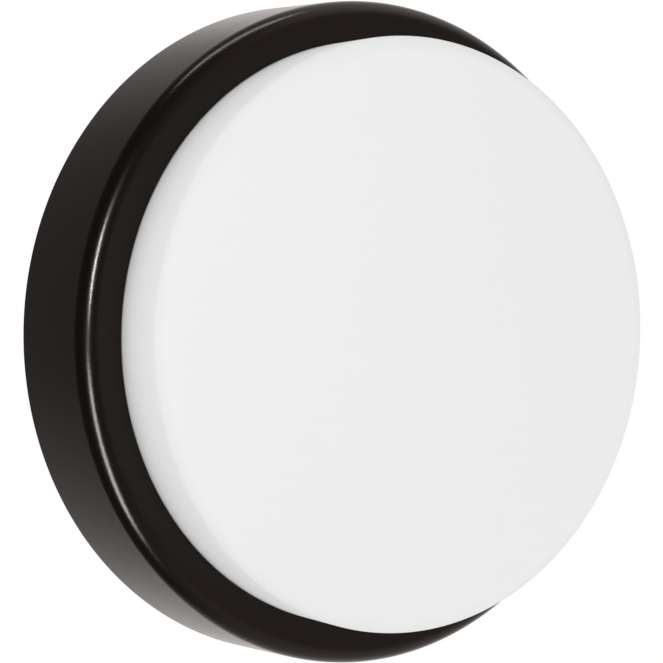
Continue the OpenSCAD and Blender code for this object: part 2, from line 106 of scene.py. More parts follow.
# Spring clips: bent strips, each with its line of (radius, depth) and its bends' radii
CLIP_COUNT = 4
CLIP_FIRST = 45
CLIP_W = 16
CLIP_T = 0.7
CLIP_LINE = ((134, PLATE_T), (139.5, PLATE_T), (147.4, 29), (143, 37))
CLIP_BENDS = (0, 1.6, 1.8, 0)
CLIP_BEVEL = 0.15

# Light-emitting packages: rings of (radius, count), and one package's white rim and sunk window
CHIP_RINGS = ((73, 20), (95, 28))
CHIP_W = 3.5
CHIP_L = 2.8
CHIP_RIM = 0.45
CHIP_SUNK = 0.15

# Copper tracks on the board: either side of each ring of packages
TRACK_OFFSET = 3.4
TRACK_HALF_W = 0.9
TRACK_H = 0.035

# Leads: a little under the radius of the CAD leads, so as to stay inside those flat-sided tubes
LEAD_R = 1.35 * 0.985
# Sides round a lead, and steps from one point of its route to the next
LEAD_SIDES = 24
LEAD_STEPS = 8
# Each lead's route as (x, z, depth)
LEAD_ROUTES = {
    "live_lead": (
        (-11, -18.6, 13), (-11, -15, 13), (-11.5, -12.2, 15), (-13, -11.5, 20), (-17, -10.5, 25),
        (-25, -8, 27), (-37, -5, 27), (-48, 0, 27), (-55, 9, 28.5), (-55, 17.5, 30),
        (-50.5, 23, 30), (-45.5, 24, 30), (-42, 24, 30), (-39.4, 24, 30),
    ),
    "neutral_lead": (
        (0, -18.6, 13), (0, -15, 13), (-0.5, -12.2, 15), (-2.5, -11.5, 20), (-7, -10, 25),
        (-16, -5, 26.5), (-28, -1.5, 27), (-40, 2, 27), (-48, 8, 28), (-50, 14, 29.5),
        (-47.5, 18, 30), (-44.5, 19, 30), (-42, 19, 30), (-39.4, 19, 30),
    ),
    "earth_lead": (
        (11, -18.6, 13), (11, -14, 13), (7, -10, 11.5), (-6, -8, 9.5), (-22, -8.5, 9),
        (-35, -10, 9), (-42.5, -13, 8.8), (-45.6, -18, 8.3), (-46, -21.5, 8.2),
        (-46, -25, 8.2), (-46, -28.2, 8.2),
    ),
    "plus_lead": (
        (39.4, 26, 30), (42, 26, 30), (47, 25.6, 30), (52, 23, 29.5), (56, 16.5, 27),
        (57, 9, 25.5), (59, 3.8, 25), (62.5, 1.8, 25), (65, 1.8, 25), (67.2, 1.8, 25),
    ),
    "minus_lead": (
        (39.4, 21, 30), (42, 21, 30), (46, 20.4, 30), (50, 17.5, 29), (52, 11, 26.5),
        (53, 4, 25), (56.5, -0.6, 25), (62, -1.8, 25), (65, -1.8, 25), (67.2, -1.8, 25),
    ),
}

# Kept CAD nodes: faces closer to level than this are joined, edges that turn by more than these
# are bevelled and kept sharp
LEVEL_ANGLE = 0.4
BEVEL_ANGLE = 40
SHARP_ANGLE = 30

# Floor, in metres: half its side, its height, and from where to where it turns white
FLOOR_HALF = 6.0
FLOOR_HEIGHT = -0.36
FLOOR_FADE = (0.5, 0.95)

# Level of the studio on matt surfaces
MATT_LEVEL = 0.8

# Directions whose dot product with a ray says where it looks in the studio
STUDIO_AXES = {
    "x": (1, 0, 0),
    "y": (0, 1, 0),
    "z": (0, 0, 1),
    "across": (1, 0, -0.45),
    "back": (0, 1, 0.02),
}
# Smooth steps along them: axis, where the step starts and ends, and its level at each
STUDIO_FADES = {
    "sweep": ("back", 0.79, 0.835, 0.0, 1.0),
    "room": ("x", -0.4, 0.5, 0.12, 0.6),
    "below": ("x", -0.35, 0.15, 0.0, 1.0),
    "below_z": ("z", -0.25, -0.6, 0.0, 0.4),
    "above": ("x", 0.15, 0.45, 0.0, 1.0),
    "above_z": ("z", 0.35, 0.75, 0.0, 0.95),
    "above_y": ("y", 0.5, -0.2, 0.25, 1.0),
    "beside": ("x", 0.15, 0.5, 0.0, 1.0),
    "beside_y": ("y", -0.4, 0.3, 0.0, 0.5),
}
# Sums of the gloss pattern, in order: the result, what it is made of, and how
STUDIO_SUMS = (
    ("level", "across", "MULTIPLY", 0.82),
    ("level", "level", "ADD", 0.58),
    ("level", "level", "MAXIMUM", 0.24),
    ("level", "level", "MINIMUM", 1.15),
    ("sweep", "sweep", "MULTIPLY", "level"),
    ("below", "below", "MULTIPLY", "below_z"),
    ("above", "above", "MULTIPLY", "above_z"),
    ("above", "above", "MULTIPLY", "above_y"),
    ("beside", "beside", "MULTIPLY", "beside_y"),
    ("patch", "below", "MAXIMUM", "above"),
    ("patch", "patch", "MAXIMUM", "beside"),
    ("room", "room", "ADD", "patch"),
    ("gloss", "sweep", "MAXIMUM", "room"),
)

# Lamps: azimuth and elevation as for the camera, distance, width and height in metres, watts, and
# turn about that direction. The first ones only show in gloss, the others only light matt surfaces
GLOSS_LAMPS = {
    "upper_window": (-41, 13, 1.5, 0.14, 0.4, 25, 0),
    "lower_window": (-47, -27, 1.5, 0.36, 1.05, 38, -11),
    "overhead": (-40, 84, 1.4, 0.24, 0.85, 6.5, -72),
}
MATT_LAMPS = {
    "front_fill": (-30, 15, 0.7, 0.3, 0.3, 0.54, 0),
    "upper_side_fill": (-100, 30, 1.0, 0.35, 0.35, 0.31, 0),
    "lower_side_fill": (-100, -35, 1.0, 0.35, 0.35, 0.56, 0),
    "right_fill": (30, -35, 1.0, 0.35, 0.35, 0.82, 0),
}

# Camera of the photograph, from the light's left and a little above its middle: direction, and
# distance and target in metres
CAMERA_AZIMUTH = -34.1
CAMERA_ELEVATION = 2.15
CAMERA_DISTANCE = 0.898
CAMERA_TARGET = Vector((-0.021, -0.045, 0.00115))
CAMERA_LENS = 108.45
CAMERA_SENSOR = 36


# Curves and sections

def arc(centre, radius, start, end, count):
    """Points on a circle from the start angle to the end angle: centre + r (cos, sin)."""
    a = np.radians(np.linspace(start, end, count))
    return np.stack([centre[0] + radius * np.cos(a), centre[1] + radius * np.sin(a)], 1)


def rounded(corners, radii, steps):
    """A closed outline with its corners rounded: each corner is cut back by r / tan(opening / 2)
    along both sides, and the points between follow the circle that touches both sides. A corner
    with the radius 0, or that hardly turns, stays as it is."""
    corners = np.asarray(corners, float)
    out = []
    for i, (corner, r) in enumerate(zip(corners, radii)):
        to_last = corners[i - 1] - corner
        to_next = corners[(i + 1) % len(corners)] - corner
        to_last /= np.linalg.norm(to_last)
        to_next /= np.linalg.norm(to_next)
        opening = math.acos(float(np.clip(to_last @ to_next, -1, 1)))
        if r == 0 or opening > math.pi - 1e-3:
            out.append(corner[None])
            continue
        middle = to_last + to_next
        centre = corner + middle / np.linalg.norm(middle) * r / math.sin(opening / 2)
        start = corner + to_last * r / math.tan(opening / 2) - centre
        sign = math.copysign(1, to_last[0] * to_next[1] - to_last[1] * to_next[0])
        turn = -sign * np.linspace(0, math.pi - opening, steps + 1)
        x = start[0] * np.cos(turn) - start[1] * np.sin(turn)
        y = start[0] * np.sin(turn) + start[1] * np.cos(turn)
        out.append(np.stack([x, y], 1) + centre)
    return np.concatenate(out)


def held(section, closed=True):
    """The same section with a point close to each end of its long straight runs, so that smooth
    shading stays flat between them."""
    reach, long_run = 0.25, 1.25
    section = np.asarray(section, float)
    out = []
    for i, point in enumerate(section):
        out.append(point)
        if i == len(section) - 1 and not closed:
            break
        run = section[(i + 1) % len(section)] - point
        length = np.linalg.norm(run)
        if length > long_run:
            out += [point + run * reach / length, point + run * (1 - reach / length)]
    return np.array(out)


def smooth_route(points, steps):
    """A route through its points by cubic pieces, sampled steps times from point to point. At each
    point the route has the slope of the chord between the two points beside it."""
    p = np.asarray(points, float)
    p = np.concatenate([[2 * p[0] - p[1]], p, [2 * p[-1] - p[-2]]])
    t = np.linspace(0, 1, steps, endpoint=False)[None, :, None]
    a, b, c, d = (p[k : len(p) - 3 + k][:, None] for k in range(4))
    curve = 0.5 * (2 * b + (c - a) * t + (2 * a - 5 * b + 4 * c - d) * t**2
                   + (3 * b - a - 3 * c + d) * t**3)
    return np.concatenate([curve.reshape(-1, 3), p[-2:-1]])


# Surfaces: each is its points in millimetres, and its faces as arrays of their corners' numbers

def upright(x, z, depth):
    """Points of the part's frame from the place on the wall and the depth: (x, -depth, z)."""
    return np.stack(np.broadcast_arrays(x, -np.asarray(depth, float), z), -1)


def grid_faces(rows, columns, close_rows=False, close_columns=False):
    """Quads of a grid of points, numbered row by row. A closed side joins its last line to its
    first."""
    i = np.arange(rows if close_rows else rows - 1)[:, None]
    j = np.arange(columns if close_columns else columns - 1)[None, :]
    i2, j2 = (i + 1) % rows, (j + 1) % columns
    quads = [i * columns + j, i2 * columns + j, i2 * columns + j2, i * columns + j2]
    shape = np.broadcast_shapes(i.shape, j.shape)
    return np.stack([np.broadcast_to(q, shape) for q in quads], -1).reshape(-1, 4)


def end_faces(rows, columns):
    """The two faces that close a grid of rings at its first and last ring."""
    numbers = np.arange(rows * columns).reshape(rows, columns)
    return [numbers[:1], numbers[-1:, ::-1]]


def swept(section, segments):
    """Points of a section turned about the axis square to the wall: x = r cos a, z = r sin a, and
    the depth stays. One row for each angle."""
    a = np.linspace(0, 2 * math.pi, segments, endpoint=False)[:, None]
    radius, depth = section.T
    return upright(radius * np.cos(a), radius * np.sin(a), depth).reshape(-1, 3)


def turned(section, segments):
    """A closed section of (radius, depth), turned about the axis."""
    section = held(section)
    return swept(section, segments), [grid_faces(segments, len(section), True, True)]


def capped(section, segments):
    """An open section turned in the same way, whose first and last points lie on the axis. Both
    become one point, joined to their neighbours by triangles."""
    section = held(section, closed=False)
    inner = section[1:-1]
    points = swept(inner, segments)
    columns = len(inner)
    quads = grid_faces(segments, columns, close_rows=True)
    poles = upright(np.zeros(2), np.zeros(2), section[[0, -1], 1])
    start = np.arange(segments) * columns
    following = np.roll(start, -1)
    first, last = len(points), len(points) + 1
    near = np.stack([np.full(segments, first), following, start], 1)
    far = np.stack([np.full(segments, last), start + columns - 1, following + columns - 1], 1)
    return np.concatenate([points, poles]), [quads, near, far]


def tube(path, radius, sides):
    """A round tube along a path: at each point a circle in the plane across the path, whose first
    direction is carried from the point before, so that it never twists. Both ends are closed."""
    along = np.gradient(path, axis=0)
    along /= np.linalg.norm(along, axis=1)[:, None]
    any_other_way = (0.2, 0.3, 1.0)
    side = np.cross(along[0], any_other_way)
    across = []
    for direction in along:
        side = side - (side @ direction) * direction
        side /= np.linalg.norm(side)
        across.append(side)
    across = np.array(across)
    a = np.linspace(0, 2 * math.pi, sides, endpoint=False)[None, :, None]
    ring = np.cos(a) * across[:, None] + np.sin(a) * np.cross(along, across)[:, None]
    points = (path[:, None] + radius * ring).reshape(-1, 3)
    quads = grid_faces(len(path), sides, close_columns=True)
    return points, [quads, *end_faces(len(path), sides)]


def carried(outline, across, place):
    """A closed outline carried straight across: outline gives (u, v), and place turns u, the way
    across and v into points of the part's frame."""
    u, v = outline.T
    points = place(u[None], np.asarray(across, float)[:, None], v[None]).reshape(-1, 3)
    quads = grid_faces(len(across), len(outline), close_columns=True)
    return points, [quads, *end_faces(len(across), len(outline))]


def joined(*surfaces):
    """Several surfaces as one, with the later ones' corners counted on."""
    points, faces, start = [], [], 0
    for p, groups in surfaces:
        points.append(p)
        faces += [g + start for g in groups]
        start += len(p)
    return np.concatenate(points), faces


def outwards(points, groups):
    """The same faces, turned round if the volume they enclose comes out negative: the volume is a
    sixth of the sum of a . (b x c) over the triangles of each face."""
    volume = 0.0
    for g in groups:
        a = points[g[:, 0]]
        for k in range(1, g.shape[1] - 1):
            volume += np.einsum("ij,ij->", a, np.cross(points[g[:, k]], points[g[:, k + 1]]))
    return groups if volume > 0 else [g[:, ::-1] for g in groups]


def mesh_piece(name, surface, material, body, replaces, smooth_below=35):
    """Puts a surface into a mesh, in metres, with its faces pointing outwards and its edges sharp
    above the given angle, and makes it ride on its body in place of its CAD nodes."""
    points, groups = surface
    groups = outwards(points, groups)
    corners = np.concatenate([g.reshape(-1) for g in groups]).astype(np.int32)
    sizes = np.concatenate([np.full(len(g), g.shape[1]) for g in groups])
    starts = np.concatenate([[0], np.cumsum(sizes)[:-1]]).astype(np.int32)
    mesh = bpy.data.meshes.new(name)
    mesh.vertices.add(len(points))
    mesh.vertices.foreach_set("co", (points * MM).astype(np.float32).reshape(-1))
    mesh.loops.add(len(corners))
    mesh.loops.foreach_set("vertex_index", corners)
    mesh.polygons.add(len(sizes))
    mesh.polygons.foreach_set("loop_start", starts)
    mesh.update(calc_edges=True)
    mesh.validate()
    mesh.shade_smooth()
    mesh.set_sharp_from_angle(angle=math.radians(smooth_below))
    mesh.materials.append(material)
    piece = bpy.data.objects.new(name, mesh)
    bpy.context.scene.collection.objects.link(piece)
    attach(piece, body)
    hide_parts(*replaces)
    return piece


# Materials

def linear(hex_colour):
    """A hex colour as linear red, green, blue and alpha: c / 12.92 up to 0.04045, else
    ((c + 0.055) / 1.055) to the power 2.4."""
    c = np.array([int(hex_colour[i : i + 2], 16) for i in (1, 3, 5)]) / 255
    c = np.where(c <= 0.04045, c / 12.92, ((c + 0.055) / 1.055) ** 2.4)
    return (*(float(v) for v in c), 1.0)


def node(tree, kind, inputs=None, **settings):
    """Adds a node with its settings. An input is a value, or a socket of another node to link."""
    made = tree.nodes.new(kind)
    for key, value in settings.items():
        setattr(made, key, value)
    for key, value in (inputs or {}).items():
        if isinstance(value, bpy.types.NodeSocket):
            tree.links.new(value, made.inputs[key])
        else:
            made.inputs[key].default_value = value
    return made


def new_material(name, **shader):
    """A material with a Principled shader. Names of sockets are given with _ for a space."""
    material = bpy.data.materials.new(name)
    material.use_nodes = True
    tree = material.node_tree
    principled = tree.nodes["Principled BSDF"]
    for key, value in shader.items():
        principled.inputs[key.replace("_", " ")].default_value = value
    return material, tree, principled


def grained_skin(tree, principled, depth_mm, *layers):
    """Relief of the given real depth. Its height is the sum of layers of soft noise on Object
    coordinates, which are metres in the part's frame. A layer is the size of its blobs in
    millimetres and how many finer octaves it has."""
    place = node(tree, "ShaderNodeTexCoord").outputs["Object"]
    height = 0.0
    for size_mm, octaves in layers:
        blobs = {"Vector": place, "Scale": 1 / (size_mm * MM), "Detail": octaves}
        grain = node(tree, "ShaderNodeTexNoise", blobs).outputs["Fac"]
        height = node(tree, "ShaderNodeMath", {0: height, 1: grain}, operation="ADD").outputs[0]
    bump = node(tree, "ShaderNodeBump", {"Height": height, "Distance": depth_mm * MM})
    tree.links.new(bump.outputs["Normal"], principled.inputs["Normal"])


def uneven_gloss(tree, principled, patch_mm, low, high):
    """Roughness that drifts from low to high over soft patches of the given real size."""
    place = node(tree, "ShaderNodeTexCoord").outputs["Object"]
    patches = node(tree, "ShaderNodeTexNoise", {"Vector": place, "Scale": 1 / (patch_mm * MM)})
    levels = {"Value": patches.outputs["Fac"], "To Min": low, "To Max": high}
    rough = node(tree, "ShaderNodeMapRange", levels).outputs["Result"]
    tree.links.new(rough, principled.inputs["Roughness"])


def powder_coat():
    """Polyester powder coat, satin with a fine grain, baked on a die casting: near black and a
    little warm, its highlights broken into fine sparkle. The real grains are about 0.3 mm across
    and are drawn at 0.8 mm, so that they show in the render, over an orange peel of 2.4 mm."""
    material, tree, principled = new_material(
        "powder_coat_black", Base_Color=linear("#0B0604"), Roughness=0.22, IOR=1.5,
        Specular_IOR_Level=0.24, Specular_Tint=linear("#FFEFE4"))
    grained_skin(tree, principled, 0.03, (0.8, 2.0), (2.4, 1.0))
    uneven_gloss(tree, principled, 6.0, 0.2, 0.24)
    return material


def opal_polycarbonate():
    """Injection-moulded opal polycarbonate: white all through, light sinks in a few millimetres,
    and the moulded skin is satin, so highlights on it are broad and faint. Its real grain is
    about 0.1 mm across and is drawn at 0.6 mm."""
    material, tree, principled = new_material(
        "opal_polycarbonate", Base_Color=linear("#F1F1F1"), Roughness=0.65, IOR=1.58,
        Specular_IOR_Level=0.06, Subsurface_Weight=0.15, Subsurface_Radius=(1.0, 1.0, 1.0),
        Subsurface_Scale=1.5 * MM)
    grained_skin(tree, principled, 0.001, (0.6, 2.0))
    return material


def seal_rubber():
    """Extruded EPDM: matt black with a faint bloom and a fine grain, drawn at 0.3 mm."""
    material, tree, principled = new_material(
        "epdm_rubber", Base_Color=linear("#1C1C1C"), Roughness=0.7, IOR=1.52)
    grained_skin(tree, principled, 0.01, (0.3, 3.0))
    uneven_gloss(tree, principled, 4.0, 0.6, 0.82)
    return material


def bare_metal(name, colour, rough, grain_mm):
    """Plated or bare metal whose gloss changes from crystal to crystal, with a finer grain. Real
    crystals are a few hundredths of a millimetre, and are drawn at grain_mm so that they show."""
    material, tree, principled = new_material(
        name, Base_Color=linear(colour), Metallic=1.0, Roughness=rough)
    grained_skin(tree, principled, 0.003, (grain_mm * 0.3, 2.0))
    uneven_gloss(tree, principled, grain_mm, rough * 0.75, rough * 1.3)
    return material


def white_enamel():
    """Stoved white enamel on pressed steel: satin, with a soft orange peel of about 2 mm."""
    material, tree, principled = new_material(
        "white_enamel", Base_Color=linear("#EDEDEA"), Roughness=0.4, IOR=1.5,
        Specular_IOR_Level=0.35)
    grained_skin(tree, principled, 0.01, (2.0, 1.0))
    return material


def board_mask():
    """White solder mask on an aluminium board, with raised copper rings that show as faint grey
    tracks: bands of radius from the middle, worked out from sqrt(x^2 + z^2)."""
    material, tree, principled = new_material("white_solder_mask", Roughness=0.33, IOR=1.5)
    place = node(tree, "ShaderNodeTexCoord").outputs["Object"]
    flat = node(tree, "ShaderNodeVectorMath", {0: place, 1: (1, 0, 1)}, operation="MULTIPLY")
    radius = node(tree, "ShaderNodeVectorMath", {0: flat.outputs[0]}, operation="LENGTH")
    track = 0.0
    for ring, _ in CHIP_RINGS:
        for track_r in (ring - TRACK_OFFSET, ring + TRACK_OFFSET):
            band = {0: radius.outputs["Value"], 1: track_r * MM, 2: TRACK_HALF_W * MM}
            near = node(tree, "ShaderNodeMath", band, operation="COMPARE").outputs[0]
            both = node(tree, "ShaderNodeMath", {0: track, 1: near}, operation="MAXIMUM")
            track = both.outputs[0]
    # Sockets 6 and 7 of a Mix node are its two colours, and output 2 is the mixed colour
    colours = {0: track, 6: linear("#E4E6E0"), 7: linear("#CDD1C9")}
    colour = node(tree, "ShaderNodeMix", colours, data_type="RGBA").outputs[2]
    tree.links.new(colour, principled.inputs["Base Color"])
    bump = node(tree, "ShaderNodeBump", {"Height": track, "Distance": TRACK_H * MM})
    tree.links.new(bump.outputs["Normal"], principled.inputs["Normal"])
    return material


def moulded(name, colour, rough, grain_mm=0.5, depth_mm=0.006):
    """Plastic with the fine grain of its spark-eroded mould: even colour, satin. The real grain
    is about 0.1 mm across, and is drawn at grain_mm so that it shows."""
    material, tree, principled = new_material(
        name, Base_Color=linear(colour), Roughness=rough, IOR=1.5)
    grained_skin(tree, principled, depth_mm, (grain_mm, 2.0))
    uneven_gloss(tree, principled, 8.0, rough * 0.9, rough * 1.12)
    return material


def striped_insulation():
    """Green and yellow PVC insulation, extruded in two colours: smooth, with two stripes along the
    lead, from the angle round it in the piece's own UV map."""
    green_share = 0.62
    material, tree, principled = new_material(
        "green_yellow_extruded_pvc", Roughness=0.4, IOR=1.53)
    around = node(tree, "ShaderNodeUVMap", uv_map="around").outputs[0]
    share = node(tree, "ShaderNodeSeparateXYZ", {0: around}).outputs["X"]
    stripe = node(tree, "ShaderNodeMath", {0: share, 1: green_share}, operation="GREATER_THAN")
    colours = {0: stripe.outputs[0], 6: linear("#2F8A2E"), 7: linear("#E8D21C")}
    colour = node(tree, "ShaderNodeMix", colours, data_type="RGBA").outputs[2]
    tree.links.new(colour, principled.inputs["Base Color"])
    return material


coat = powder_coat()
opal = opal_polycarbonate()
rubber = seal_rubber()
enamel = white_enamel()
mask = board_mask()
striped = striped_insulation()
# Zinc-plated pressed steel: bright, a little blue
zinc = bare_metal("zinc_plate", "#C9CCCF", 0.3, 1.5)
# Rolled stainless strip: smooth and darker
spring_steel = bare_metal("spring_steel", "#B9BABB", 0.24, 3.0)
# Drawn aluminium: pale and duller
rivet_alloy = bare_metal("rivet_aluminium", "#CFD1D3", 0.38, 1.2)
# Turned brass: yellow and bright, and the same with a greyish plating of tin
brass = bare_metal("turned_brass", "#C9A45A", 0.25, 0.8)
tinned = bare_metal("tinned_brass", "#C6C4BC", 0.3, 1.0)
# Uncoloured nylon: milky, a little warm
nylon = moulded("natural_nylon", "#DDD8C8", 0.5)
# Moulded ABS: light grey, with the coarsest grain
casing = moulded("grey_abs", "#C9CBCC", 0.45, 0.8, 0.01)
# Phosphor in cast silicone: strong yellow, smooth
phosphor = moulded("phosphor_silicone", "#E9C94A", 0.35, 0.2, 0.002)
# Pressed glass-fibre laminate under green lacquer
laminate = moulded("glass_fibre_laminate", "#1D5136", 0.4)
# Wound polyester tape: warm yellow
coil_tape = moulded("polyester_tape", "#D9B437", 0.4)
# Shrunk PVC film: black and the shiniest
sleeve = moulded("shrunk_pvc", "#121214", 0.3)
# Extruded PVC: smooth and satin, coloured all through
brown = moulded("brown_extruded_pvc", "#5B3320", 0.42, 0.4, 0.002)
blue = moulded("blue_extruded_pvc", "#1F57A8", 0.42, 0.4, 0.002)
red = moulded("red_extruded_pvc", "#B42318", 0.42, 0.4, 0.002)
black = moulded("black_extruded_pvc", "#161616", 0.42, 0.4, 0.002)

LEAD_LOOKS = {
    "live_lead": (brown, "brown_pvc"),
    "neutral_lead": (blue, "blue_pvc"),
    "earth_lead": (striped, "green_yellow_pvc"),
    "plus_lead": (red, "red_pvc"),
    "minus_lead": (black, "black_pvc"),
}

# Finish of each kept CAD node, and the width of its bevelled edges
FINISHES = {
    "diffuser_gasket": (rubber, 0.3),
    "clamp_screws": (zinc, 0.25),
    "wall_base": (coat, 0.35),
    "rim_gasket": (rubber, 0.4),
    "wall_gasket": (rubber, 0.3),
    "cable_grommet": (rubber, 0.4),
    "entry_plug": (rubber, 0.4),
    "clip_rivets": (rivet_alloy, 0.3),
    "gear_tray": (enamel, 0.2),
    "tray_screws": (zinc, 0.35),
    "led_board": (mask, 0.15),
    "board_screws": (zinc, 0.25),
    "board_connector": (nylon, 0.3),
    "driver_case": (casing, 0.5),
    "driver_lid": (casing, 0.8),
    "driver_board": (laminate, 0.1),
    "driver_transformer": (coil_tape, 0.3),
    "driver_capacitors": (sleeve, 0.4),
    "driver_screws": (zinc, 0.25),
    "terminal_block": (nylon, 0.3),
    "terminal_tubes": (brass, 0.1),
    "terminal_screws": (zinc, 0.1),
    "block_screws": (zinc, 0.25),
    "earth_ring": (tinned, 0.1),
    "earth_screw": (zinc, 0.3),
    **{f"diffuser_clamp_{i + 1}": (zinc, 0.15) for i in range(CLAMP_COUNT)},
}


# Pieces of the cover

def ring_section():
    """Section of the ring: drafted side, arc of the rounded edge, flat front, collar that turns
    back at the opening, and the same line again one wall further in, with the clips' bead. The
    side leans in by tan(draft) for each millimetre of depth."""
    draft = math.radians(RING_DRAFT)
    lean = math.tan(draft)
    arc_depth = RING_DEPTH - RING_EDGE_R
    arc_r = RING_BACK_R - (arc_depth - RING_GAP) * lean - RING_EDGE_R / math.cos(draft)
    front = arc((arc_r, arc_depth), RING_EDGE_R, RING_DRAFT, 90, 25)
    inside = arc((arc_r, arc_depth), RING_EDGE_R - RING_WALL, 90, RING_DRAFT, 13)
    back_in = inside[-1, 0] + (inside[-1, 1] - RING_GAP) * lean

    def wall_in(depth):
        """Radius of the inner wall at a depth."""
        return back_in - (depth - RING_GAP) * lean

    collar_r = OPENING_R + COLLAR_T
    collar_back = RING_DEPTH - COLLAR_L
    collar = [(OPENING_R, RING_DEPTH), (OPENING_R, collar_back), (collar_r, collar_back),
              (collar_r, RING_DEPTH - RING_WALL)]
    bead_r = wall_in(BEAD_TO) - BEAD_H
    bead = [(wall_in(BEAD_TO), BEAD_TO), (bead_r, BEAD_TO), (bead_r, BEAD_FROM),
            (wall_in(BEAD_FROM), BEAD_FROM)]
    back = [(back_in, RING_GAP), (RING_BACK_R, RING_GAP)]
    # In the same order, how far each corner is rounded: the arcs' own points are not
    radii = [*[0] * len(front), 0.5, 0.4, 0.4, 0.8, *[0] * len(inside), 0.3, 0.6, 0.6, 0.3,
             0.4, 0.5]
    return rounded(np.concatenate([front, collar, inside, bead, back]), radii, 4)


def boss(angle):
    """A screw boss behind the ring's front, at an angle round it in radians: a turned sleeve with
    a blind bore."""
    top = RING_DEPTH - RING_WALL + BOSS_SINK
    bottom = FLANGE_BACK + BOSS_BORE_DEPTH
    section = [(0, top), (BOSS_R, top), (BOSS_R, FLANGE_BACK + BOSS_CHAMFER),
               (BOSS_R - BOSS_CHAMFER, FLANGE_BACK), (BOSS_BORE_R, FLANGE_BACK),
               (BOSS_BORE_R, bottom), (0, bottom)]
    points, faces = capped(section, BOSS_SEGMENTS)
    return points + upright(BOSS_X * math.cos(angle), BOSS_X * math.sin(angle), 0.0), faces


def build_ring():
    """The cover ring with its bosses."""
    bosses = [boss(i * 2 * math.pi / CLAMP_COUNT) for i in range(CLAMP_COUNT)]
    surface = joined(turned(ring_section(), ROUND_SEGMENTS), *bosses)
    mesh_piece("cover_ring", surface, coat, "cover", ["trim_ring"])


def build_diffuser():
    """The opal cup: face, rounded corner, side and flange, and the inside one wall further in. The
    face has rings of points of its own, so that none of its mesh is a long thin triangle."""
    corner = (DIFFUSER_R - DIFFUSER_CORNER_R, LIGHT_DEPTH - DIFFUSER_CORNER_R)
    inner_r = DIFFUSER_R - DIFFUSER_WALL
    inner_face = LIGHT_DEPTH - DIFFUSER_WALL
    flange_front = FLANGE_BACK + FLANGE_T
    # The flange's outline starts and ends part way along the side
    side_from = LIGHT_DEPTH - 20
    outside = arc(corner, DIFFUSER_CORNER_R, 90, 0, 25)
    inside = arc(corner, DIFFUSER_CORNER_R - DIFFUSER_WALL, 0, 90, 17)
    flange = rounded([(DIFFUSER_R, side_from), (DIFFUSER_R, flange_front),
                      (FLANGE_R, flange_front), (FLANGE_R, FLANGE_BACK), (inner_r, FLANGE_BACK),
                      (inner_r, side_from)], [0, 0.8, 0.6, 0.6, 0.5, 0], 4)
    rings = np.linspace(0, corner[0], 9)[:-1]
    face = np.column_stack([rings, np.full(len(rings), LIGHT_DEPTH)])
    back = np.column_stack([rings[::-1], np.full(len(rings), inner_face)])
    section = np.concatenate([face, outside, flange, inside, back])
    mesh_piece("diffuser_cup", capped(section, ROUND_SEGMENTS), opal, "cover",
               ["diffuser"])


# Pieces of the base

def build_clip(index):
    """A leaf spring: a line of foot, riser, crest and tip with rounded bends, given its thickness
    by an offset square to it, and carried across the strip's width."""
    turn = math.radians(CLIP_FIRST) + index * 2 * math.pi / CLIP_COUNT
    # Rounding takes a closed outline, so the line is closed by a point that is left out again
    closing = (0, 20)
    outer = rounded([*CLIP_LINE, closing], [*CLIP_BENDS, 0], 8)[:-1]
    slope = np.gradient(outer, axis=0)
    slope /= np.linalg.norm(slope, axis=1)[:, None]
    inner = outer + CLIP_T * np.stack([-slope[:, 1], slope[:, 0]], 1)
    outline = np.concatenate([outer, inner[::-1]])

    def place(u, w, depth):
        """Radius u and the way across w, turned to the clip's angle."""
        return upright(u * math.cos(turn) - w * math.sin(turn),
                       u * math.sin(turn) + w * math.cos(turn), depth)

    surface = carried(outline, np.linspace(-CLIP_W / 2, CLIP_W / 2, 5), place)
    clip = mesh_piece(f"clip_spring_{index + 1}", surface, spring_steel, "base",
                      [f"spring_clip_{index + 1}"])
    soften(clip, CLIP_BEVEL)


def build_leads():
    """The insulated leads, round and smooth along the routes of the frame's own leads, with the
    share of the way round in their UV map."""
    for name, route in LEAD_ROUTES.items():
        path = upright(*smooth_route(route, LEAD_STEPS).T)
        material, slot = LEAD_LOOKS[name]
        piece = mesh_piece(f"insulated_{name}", tube(path, LEAD_R, LEAD_SIDES), material, "base",
                           [name], 60)
        corner = np.zeros(len(piece.data.loops), np.int32)
        piece.data.loops.foreach_get("vertex_index", corner)
        share = (corner % LEAD_SIDES) / LEAD_SIDES
        places = np.column_stack([share, np.zeros(len(share))]).astype(np.float32)
        uv = piece.data.uv_layers.new(name="around")
        uv.data.foreach_set("uv", places.reshape(-1))


